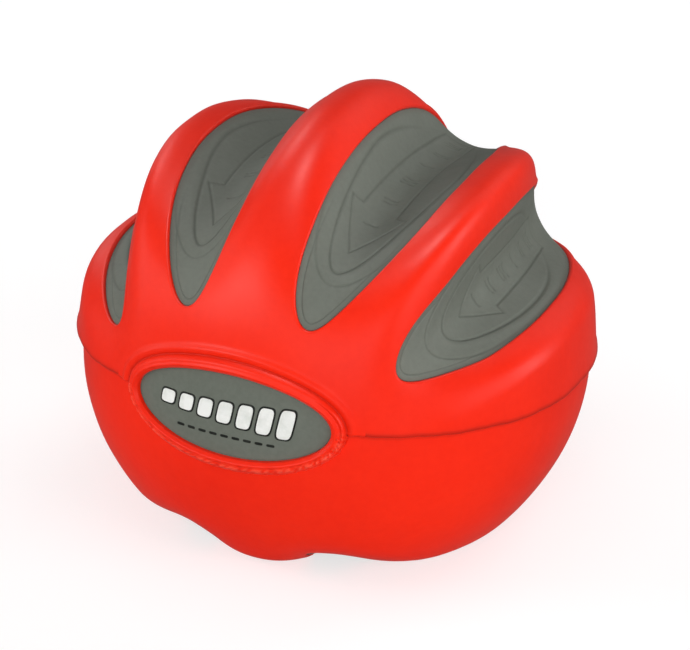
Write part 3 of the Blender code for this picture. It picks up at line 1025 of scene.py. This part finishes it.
def badge_marks(name, shapes, lift):
    """Thin raised marks on the badge: rounded bars (x, z, half width, half height, tilt)."""
    around, rings = ((72, 6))
    across = signed_power(np.cos(angles(around)), 0.45)
    upward = signed_power(np.sin(angles(around)), 0.45)
    share = np.linspace(0, 1, rings)[:, None]
    count = rings * around
    verts, normals, faces = [], [], []
    for i, (mark_x, mark_z, half_x, half_z, tilt) in enumerate(shapes):
        rise_z = share * half_z * upward
        x = BADGE_AT[0] + mark_x + share * half_x * across + tilt * rise_z
        z = BADGE_AT[1] + mark_z + rise_z
        ray = ray_at(x.ravel(), z.ravel())
        normals.append(normal(ray))
        verts.append(outer(ray) + normals[-1] * (lift - 0.10))
        faces.append(disc_faces(rings, around) + i * count)
    radius = np.zeros(count)
    radius[-around:] = 0.04
    verts, normals, faces = (np.concatenate(part) for part in (verts, normals, faces))
    radius = np.tile(radius, len(shapes))
    obj, _ = solid(name, verts, normals, faces, radius, thick=lift + 0.05)
    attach(obj, "body")
    return obj


grey_pieces = [finger_pad(k) for k in range(4)] + [thumb_pad(side) for side in range(2)]
badge = badge_plate()
grey_pieces.append(badge)

# a scale of growing bars stands over a row of dashes
BARS = [(-9.6 + 3.05 * i, 0.55 - 0.02 * i, 1.02, 0.95 + 0.20 * i, 0.18) for i in range(7)]
DASHES = [(-7.4 + 1.75 * i, -3.1, 0.55, 0.17, 0.0) for i in range(9)]
BAR_RIM = 0.26
bar_rims = [(x, z, wide + BAR_RIM, high + BAR_RIM, tilt) for x, z, wide, high, tilt in BARS]
mark_rims = badge_marks("badge_bar_outlines", bar_rims + DASHES, lift=0.05)
mark_bars = badge_marks("badge_bars", BARS, lift=0.11)

# ------------------------------------------------------------------------- foam
FOAM_INSET = 2.85
FOAM_WALL = 0.56  # where the foam's wedges meet its heart, as a share of the body's radius
FOAM_GAP = 0.25  # degrees from a seam to the foam on each side
FOAM_ROWS, FOAM_COLUMNS = ((84, 48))
FOAM_LAT = np.linspace(-70, 70, FOAM_ROWS)


def foam_zone(name, left, right, inset, weight):
    """A wedge of foam between two curves of phi: it follows the skin's shape and has no weight at
    the core.
    """
    share = np.linspace(0, 1, FOAM_COLUMNS)
    beta = np.radians(FOAM_LAT)[:, None] + 0 * share
    phi = left[:, None] + (right - left)[:, None] * share
    ray = direction(phi, beta).reshape(-1, 3)
    normals, skin = normal(ray, inset), outer(ray, inset)
    verts = skin - normals * FOAM_INSET
    x, y, z = verts.T
    cells = 0.05 * np.sin(3.1 * x + 1.3 * y) * np.sin(2.7 * y - 1.9 * z)
    cells = cells + 0.03 * np.sin(6.3 * z + 4.1 * x)
    verts = verts + normals * (cells - 0.08)[:, None]
    faces = grid_faces(FOAM_ROWS, FOAM_COLUMNS)
    obj, origin = solid(name, verts, normals, faces, 0.0, inner=skin * FOAM_WALL, steps=1)
    # points on the wall against the core get no weight
    placed = np.array([vertex.co for vertex in obj.data.vertices]) / MM - CENTRE
    depth = np.linalg.norm(placed, axis=1) / np.linalg.norm(skin[origin], axis=1)
    weigh(obj, weight(ray)[origin] * rise(depth, FOAM_WALL + 0.02, 0.88))
    return obj


def upper_side_phi(seam, gap):
    """phi along an upper wedge's side: beside its seam, or near the XY plane where it is open."""
    if abs(seam) == OPEN:
        return np.full_like(FOAM_LAT, math.radians(math.copysign(89.3, seam)))
    return phi_at_fan(seam + gap, FOAM_LAT)


def foam_upper(k):
    low, high = ZONES[k]
    left, right = upper_side_phi(low, FOAM_GAP), upper_side_phi(high, -FOAM_GAP)
    return foam_zone(f"foam_upper_{k + 1}", left, right, 0.0,
                     lambda ray: finger_weight(k, ray))


def foam_lower(side):
    limits = ((180.4, 269.3), (90.7, 179.6))[side]
    left, right = (np.full_like(FOAM_LAT, math.radians(phi)) for phi in limits)
    return foam_zone(f"foam_lower_{SIDES[side]}", left, right, LIP,
                     lambda ray: thumb_weight(side, ray))


def foam_heart():
    """The still middle of the foam: slim between the wedges and full at the front and back."""
    rows, around = ((90, 96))
    beta = np.radians(90 * np.sin(np.linspace(-1, 1, rows) * math.pi / 2))
    beta, phi = (grid.ravel() for grid in np.meshgrid(beta, angles(around), indexing="ij"))
    ray = direction(phi, beta)
    full = rise(np.abs(np.degrees(beta)), 71.0, 73.5)[:, None]
    skin = outer(ray, LIP)
    slim = skin * (FOAM_WALL - 0.015)
    verts = slim * (1 - full) + (skin - normal(ray) * FOAM_INSET) * full
    # the last ring is a single point too
    faces = np.minimum(disc_faces(rows, around), (rows - 1) * around)
    start, one, two = verts[faces[len(faces) // 2][:3]]
    if np.cross(one - start, two - start) @ start < 0:
        faces = faces[:, ::-1]
    used, faces = compact(faces)
    obj = put("foam_heart", verts[used], [corners_of(face) for face in faces.tolist()])
    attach(obj, "body")
    return obj


foam_pieces = [foam_upper(k) for k in range(4)] + [foam_lower(side) for side in range(2)]
foam_pieces.append(foam_heart())

# -------------------------------------------------------------------- materials
BLACK, WHITE = (0, 0, 0), (1, 1, 1)


class Nodes:
    """Adds nodes to a tree. Values are numbers, colours as tuples, or sockets to link."""

    def __init__(self, tree):
        self.tree = tree

    def feed(self, node, values):
        for key, value in values.items():
            if isinstance(value, tuple):
                node.inputs[key].default_value = (*value, 1)
            elif isinstance(value, (int, float)):
                node.inputs[key].default_value = value
            else:
                self.tree.links.new(value, node.inputs[key])

    def add(self, kind, values=None):
        node = self.tree.nodes.new(kind)
        self.feed(node, values or {})
        return node

    def math(self, operation, *values):
        node = self.tree.nodes.new("ShaderNodeMath")
        node.operation = operation
        self.feed(node, dict(enumerate(values)))
        return node.outputs[0]

    def light_path(self, output):
        return self.add("ShaderNodeLightPath").outputs[output]


class Finish(Nodes):
    """A new material with one surface shader and the object's coordinates."""

    def __init__(self, name):
        self.material = bpy.data.materials.new(name)
        self.material.use_nodes = True
        super().__init__(self.material.node_tree)
        for node in list(self.tree.nodes):
            if node.type != "OUTPUT_MATERIAL":
                self.tree.nodes.remove(node)
        self.output = self.tree.nodes[0]
        self.shader = self.add("ShaderNodeBsdfPrincipled")
        self.feed(self.output, {"Surface": self.shader.outputs[0]})
        self.place = self.add("ShaderNodeTexCoord").outputs["Object"]

    def surface(self, **values):
        """Sets the shader's inputs, named with _ for a space."""
        self.feed(self.shader, {key.replace("_", " "): value for key, value in values.items()})

    def noise(self, scale, detail, rough):
        values = {"Scale": scale, "Detail": detail, "Roughness": rough, "Vector": self.place}
        return self.add("ShaderNodeTexNoise", values).outputs["Fac"]

    def cells(self, scale):
        values = {"Scale": scale, "Vector": self.place}
        return self.add("ShaderNodeTexVoronoi", values).outputs["Distance"]

    def ramp(self, value, start, end, low=BLACK, high=WHITE):
        """Colour from low at start to high at end."""
        node = self.add("ShaderNodeValToRGB", {"Fac": value})
        for stop, position, colour in zip(node.color_ramp.elements, (start, end), (low, high)):
            stop.position = position
            stop.color = (*colour, 1)
        return node.outputs["Color"]

    def mix(self, share, first, second):
        node = self.tree.nodes.new("ShaderNodeMix")
        node.data_type = "RGBA"
        self.feed(node, {"Factor": share, "A": first, "B": second})
        return node.outputs["Result"]

    def mask(self, name, strength):
        """A mesh attribute scaled by strength."""
        node = self.tree.nodes.new("ShaderNodeAttribute")
        node.attribute_name = name
        return self.math("MULTIPLY", node.outputs["Fac"], strength)

    def uneven(self, value, spread, low):
        """low plus spread times the value."""
        return self.math("MULTIPLY_ADD", value, spread, low)

    def bump(self, height, strength, distance, under=None):
        values = {"Strength": strength, "Distance": distance, "Height": height}
        if under is not None:
            values["Normal"] = under
        return self.add("ShaderNodeBump", values).outputs["Normal"]


def red_skin(name, base, deep):
    """Satin skin: faint clouding, pin-sized pale blemishes and a fine texture."""
    new = Finish(name)
    cloud = new.noise(scale=45, detail=4, rough=0.55)
    colour = new.mix(new.ramp(cloud, 0.35, 0.68), deep, base)
    fine = new.noise(scale=900, detail=2, rough=0.6)
    grain = new.ramp(fine, 0.3, 0.7, (0.5, 0.006, 0.002), (1.0, 0.06, 0.02))
    colour = new.mix(0.05, colour, grain)
    # painted shade: the seam mask darkens the red along the parting line and in the crease of the
    # badge rim
    colour = new.mix(new.mask("seam", 0.75), colour, (0.26, 0.006, 0.002))
    colour = new.mix(new.mask("flash", 0.35), colour, (0.95, 0.16, 0.09))
    # pale pin blemishes, kept only where a slow noise is high
    spot = new.ramp(new.cells(scale=120), 0.0, 0.045, WHITE, BLACK)
    rare = new.ramp(new.noise(scale=70, detail=1, rough=0.5), 0.60, 0.68)
    pin = new.math("MULTIPLY", spot, rare)
    colour = new.mix(new.math("MULTIPLY", pin, 0.55), colour, (0.95, 0.42, 0.34))
    dull = new.noise(scale=160, detail=3, rough=0.6)
    waves = new.noise(scale=260, detail=4, rough=0.6)
    relief = new.bump(waves, strength=0.10, distance=0.0004)
    pores = new.noise(scale=1500, detail=3, rough=0.65)
    relief = new.bump(pores, strength=0.16, distance=0.00008, under=relief)
    new.surface(
        Base_Color=colour,
        Roughness=new.uneven(dull, spread=0.10, low=0.33),
        Specular_IOR_Level=0.30,
        Sheen_Weight=0.04,
        Sheen_Roughness=0.35,
        Normal=new.bump(pin, strength=0.3, distance=0.0001, under=relief),
    )
    return new.material


def grey_rubber(name, base, light):
    """Matte grey, slightly green, darker in the engraved lines, with painted shade along its border.
    """
    new = Finish(name)
    cloud = new.noise(scale=70, detail=4, rough=0.6)
    colour = new.mix(new.ramp(cloud, 0.32, 0.7), base, light)
    fine = new.noise(scale=1300, detail=2, rough=0.6)
    grain = new.ramp(fine, 0.3, 0.7, (0.04, 0.045, 0.04), (0.26, 0.27, 0.25))
    colour = new.mix(0.06, colour, grain)
    colour = new.mix(new.mask("line", 0.42), colour, (0.052, 0.060, 0.046))
    # painted shade: a warm dark band just inside the border, where a pad meets the red lip and the
    # plate meets the rim
    border = new.add("ShaderNodeAttribute")
    border.attribute_name = "border"
    edge = new.ramp(border.outputs["Fac"], 0.0, 0.35, WHITE, BLACK)
    colour = new.mix(new.math("MULTIPLY", edge, 0.35), colour, (0.10, 0.075, 0.062))
    dull = new.noise(scale=240, detail=3, rough=0.6)
    waves = new.noise(scale=420, detail=4, rough=0.6)
    relief = new.bump(waves, strength=0.12, distance=0.0002)
    pores = new.noise(scale=2200, detail=2, rough=0.6)
    new.surface(
        Base_Color=colour,
        Roughness=new.uneven(dull, spread=0.14, low=0.50),
        Specular_IOR_Level=0.22,
        Normal=new.bump(pores, strength=0.18, distance=0.00006, under=relief),
    )
    return new.material


def soft_foam(name):
    """Open-cell foam: pinker than the skin, with its cells as fine bumps."""
    new = Finish(name)
    cells = new.cells(scale=1400)
    new.surface(
        Base_Color=new.mix(cells, (0.62, 0.12, 0.07), (0.86, 0.26, 0.18)),
        Roughness=0.92,
        Normal=new.bump(cells, strength=0.5, distance=0.0003),
    )
    return new.material


def print_ink(name, base, worn):
    """Printed ink, a little uneven."""
    new = Finish(name)
    patches = new.noise(scale=500, detail=4, rough=0.65)
    dull = new.noise(scale=300, detail=2, rough=0.5)
    pores = new.noise(scale=1800, detail=2, rough=0.6)
    new.surface(
        Base_Color=new.mix(new.ramp(patches, 0.4, 0.66), base, worn),
        Roughness=new.uneven(dull, spread=0.15, low=0.4),
        Specular_IOR_Level=0.3,
        Normal=new.bump(pores, strength=0.2, distance=0.00004),
    )
    return new.material


def dress(obj, material):
    obj.data.materials.append(material)


red = red_skin("red_integral_skin", base=(0.87, 0.0170, 0.0010), deep=(0.80, 0.013, 0.0006))
grey = grey_rubber("grey_pad_lining", base=(0.132, 0.144, 0.120), light=(0.150, 0.163, 0.138))
foam = soft_foam("soft_foam")
plate = grey_rubber("badge_grey_plate", base=(0.118, 0.132, 0.108), light=(0.130, 0.144, 0.120))
dark_ink = print_ink("badge_dark_print", base=(0.012, 0.014, 0.012), worn=(0.022, 0.024, 0.020))
pale_ink = print_ink("badge_pale_print", base=(0.78, 0.79, 0.76), worn=(0.66, 0.68, 0.64))

for obj in red_pieces:
    dress(obj, red)
for obj in grey_pieces:
    if obj is badge:
        dress(obj, plate)
    else:
        dress(obj, grey)
for obj in red_pieces:
    for half in ("upper", "lower"):
        if obj.name.startswith(f"skin_{half}"):
            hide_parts(f"{half}_shell")
for obj in foam_pieces:
    dress(obj, foam)
    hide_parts("foam_core")
dress(mark_rims, dark_ink)
dress(mark_bars, pale_ink)

# ------------------------------------------------------ stage, in metres from here
WORLD_LIGHT = 0.09
FLOOR_FLAT = 1.6  # radius of the flat floor
FLOOR_BEND = 0.6  # radius of its upward curve
FLOOR_DROP = 0.0002
FLOOR_GLOW = 0.64

scene = bpy.context.scene
scene.view_settings.view_transform = "Standard"
scene.view_settings.look = "None"


def studio_world():
    """White to the camera but dim as a light, so that the skin keeps a deep colour."""
    world = bpy.data.worlds.new("studio")
    scene.world = world
    world.use_nodes = True
    new = Nodes(world.node_tree)
    seen = new.light_path("Is Camera Ray")
    strength = new.math("MULTIPLY_ADD", seen, 1.0 - WORLD_LIGHT, WORLD_LIGHT)
    new.feed(world.node_tree.nodes["Background"], {"Color": WHITE, "Strength": strength})


def floor_material():
    new = Finish("pale_floor")
    cloud = new.noise(scale=3, detail=2, rough=0.5)
    new.surface(
        Base_Color=new.ramp(cloud, 0.3, 0.7, (0.44, 0.44, 0.44), (0.46, 0.46, 0.46)),
        # a little light of its own keeps the shadow faint
        Emission_Color=WHITE,
        Emission_Strength=new.math("MULTIPLY", new.light_path("Is Camera Ray"), FLOOR_GLOW),
        Roughness=0.9,
        Specular_IOR_Level=0.0,
    )
    # the floor is clear to all shadow rays and to whatever meets it from below
    below = new.add("ShaderNodeNewGeometry").outputs["Backfacing"]
    clear = new.math("MAXIMUM", below, new.light_path("Is Shadow Ray"))
    glass = new.add("ShaderNodeBsdfTransparent").outputs[0]
    both = new.add("ShaderNodeMixShader", {0: clear, 1: new.shader.outputs[0], 2: glass})
    new.feed(new.output, {"Surface": both.outputs[0]})
    return new.material


def stage_floor():
    """A pale floor that runs up into a curved backdrop all the way round."""
    around = 96
    profile = [(radius, 0.0) for radius in np.linspace(0.0, FLOOR_FLAT, 12)]
    for turn in np.linspace(0, math.pi / 2, 10)[1:]:
        radius = FLOOR_FLAT + FLOOR_BEND * math.sin(turn)
        profile.append((radius, FLOOR_BEND * (1 - math.cos(turn))))
    points = [
        (max(radius, 1e-4) * math.cos(turn), max(radius, 1e-4) * math.sin(turn), z - FLOOR_DROP)
        for radius, z in profile
        for turn in angles(around)
    ]
    mesh = bpy.data.meshes.new("floor")
    faces = grid_faces(len(profile), around, close=True)[:, ::-1].tolist()
    mesh.from_pydata(points, [], faces)
    mesh.shade_smooth()
    obj = bpy.data.objects.new("floor", mesh)
    scene.collection.objects.link(obj)
    mesh.materials.append(floor_material())
    obj.visible_glossy = False


studio_world()
stage_floor()

# ----------------------------------------------------------------------- lights
AIM = Vector((0, 0, 0.03))
# lamps as name, place, size, watts. The large ones light evenly and leave no shine
FILLS = (
    ("front_fill", (0.25, -0.85, 0.22), (0.8, 0.6), 6.2),
    ("left_fill", (-0.85, -0.25, 0.30), (0.6, 0.6), 5.1),
    ("right_fill", (0.88, -0.10, 0.26), (0.6, 0.6), 4.7),
    ("top_fill", (0.0, 0.0, 0.95), (0.8, 0.8), 2.1),
    ("back_fill", (0.30, 0.80, 0.50), (0.7, 0.6), 3.6),
    ("under_fill", (-0.20, -0.10, -0.80), (0.7, 0.7), 1.8),
)
# these only draw the soft shine on the crests and along the outline
SOFTBOXES = (
    ("soft_front_left", (-0.39, -0.64, 0.40), (0.26, 0.26), 1.5),
    ("soft_back_left", (-0.50, 0.36, 0.58), (0.30, 0.30), 1.2),
    ("soft_top", (0.04, 0.06, 0.85), (0.26, 0.26), 2.2),
    ("soft_right", (0.74, 0.30, 0.20), (0.20, 0.40), 1.3),
    ("soft_left", (-0.62, 0.52, 0.18), (0.20, 0.30), 0.15),
)


def area_lamp(name, place, size, watts):
    data = bpy.data.lights.new(name, "AREA")
    data.shape = "RECTANGLE"
    data.size, data.size_y = size
    data.energy = watts
    obj = bpy.data.objects.new(name, data)
    obj.location = place
    obj.rotation_euler = (AIM - Vector(place)).to_track_quat("-Z", "Y").to_euler()
    scene.collection.objects.link(obj)
    return obj


for lamp in FILLS:
    area_lamp(*lamp).visible_glossy = False
for lamp in SOFTBOXES:
    area_lamp(*lamp).visible_diffuse = False

# ----------------------------------------------------------------------- camera
AZIMUTH, ELEVATION, ROLL = (math.radians(angle) for angle in (23.07, 27.31, -1.35))
DISTANCE = 444.7 * MM  # from the body's centre
SENSOR, LENS = 36, 155.82288
SHIFT = (0.01263768, 0.03472464)


def add_camera():
    """A camera to the front and right of the body and above it, turned by a small roll."""
    data = bpy.data.cameras.new("camera")
    data.sensor_width = SENSOR
    data.lens = LENS
    data.shift_x, data.shift_y = SHIFT
    data.clip_start = 0.01
    obj = bpy.data.objects.new("camera", data)
    scene.collection.objects.link(obj)
    level = math.cos(ELEVATION)
    back = Vector(
        (math.sin(AZIMUTH) * level, -math.cos(AZIMUTH) * level, math.sin(ELEVATION))
    )
    right = Vector((math.cos(AZIMUTH), math.sin(AZIMUTH), 0))
    above = back.cross(right)
    cos, sin = math.cos(ROLL), math.sin(ROLL)
    right, above = right * cos - above * sin, right * sin + above * cos
    place = Vector(CENTRE * MM) + back * DISTANCE
    columns = (right, above, back, place)
    rows = [[column[i] for column in columns] for i in range(3)]
    obj.matrix_world = Matrix((*rows, (0, 0, 0, 1)))
    scene.camera = obj


add_camera()
